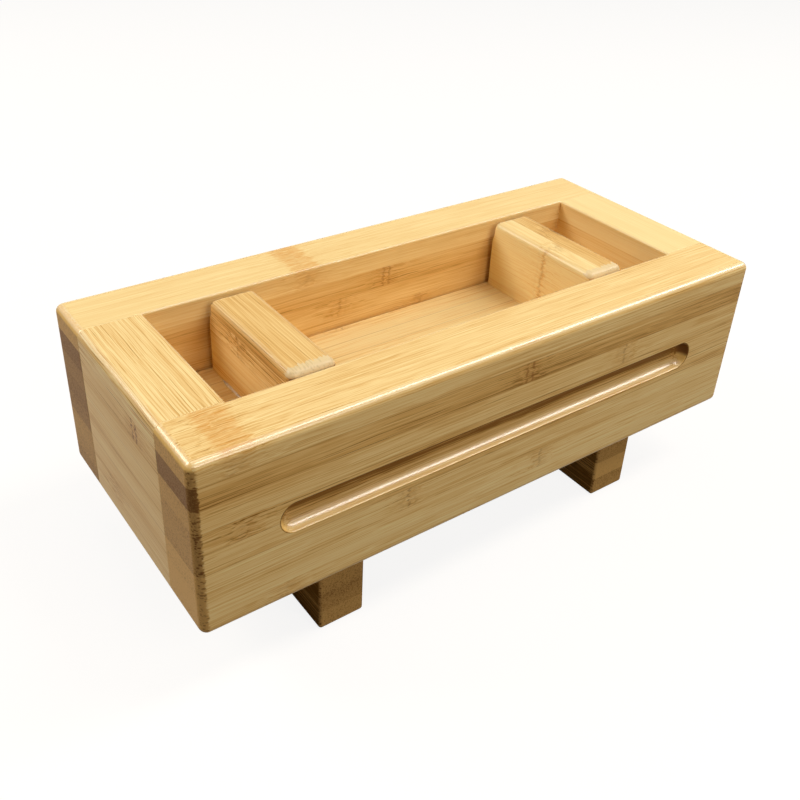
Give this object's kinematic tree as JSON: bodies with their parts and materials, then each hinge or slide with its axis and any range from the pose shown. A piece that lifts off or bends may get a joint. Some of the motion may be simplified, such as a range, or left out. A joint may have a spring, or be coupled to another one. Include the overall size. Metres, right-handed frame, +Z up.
{
  "type": "sushi rice mold press",
  "caption": "Rectangular laminated bamboo sushi rice mould: a lift-off frame with finger grooves, a footed base plate and a press plate with two handle bars.",
  "frame": {"origin": "on the table, under the middle of the box", "axes": "+X along the box, from the left end to the right end; +Y from the front to the back; +Z up, the way the frame and the press lift off"},
  "size_m": [0.2, 0.089, 0.0789],
  "materials": {
    "bamboo_frame": "laminated natural bamboo, satin lacquer",
    "bamboo_base": "laminated natural bamboo, satin lacquer",
    "bamboo_press": "laminated natural bamboo, satin lacquer",
    "bamboo_dowel": "turned bamboo, unfinished"
  },
  "bodies": {
    "base": {"base_plate": "bamboo_base", "foot_left": "bamboo_base", "foot_right": "bamboo_base", "foot_dowels": "bamboo_dowel"},
    "frame": {"front_board": "bamboo_frame", "back_board": "bamboo_frame", "left_end_board": "bamboo_frame", "right_end_board": "bamboo_frame", "corner_dowels": "bamboo_dowel"},
    "press": {"press_plate": "bamboo_press", "handle_left": "bamboo_press", "handle_right": "bamboo_press", "handle_dowels": "bamboo_dowel"}
  },
  "joints": [
    {"name": "frame_lift", "type": "slide", "parent": "base", "child": "frame", "axis": [0, 0, 1], "range_m": [0, 0.06]},
    {"name": "press_lift", "type": "slide", "parent": "base", "child": "press", "axis": [0, 0, 1], "range_m": [0, 0.105]}
  ]
}
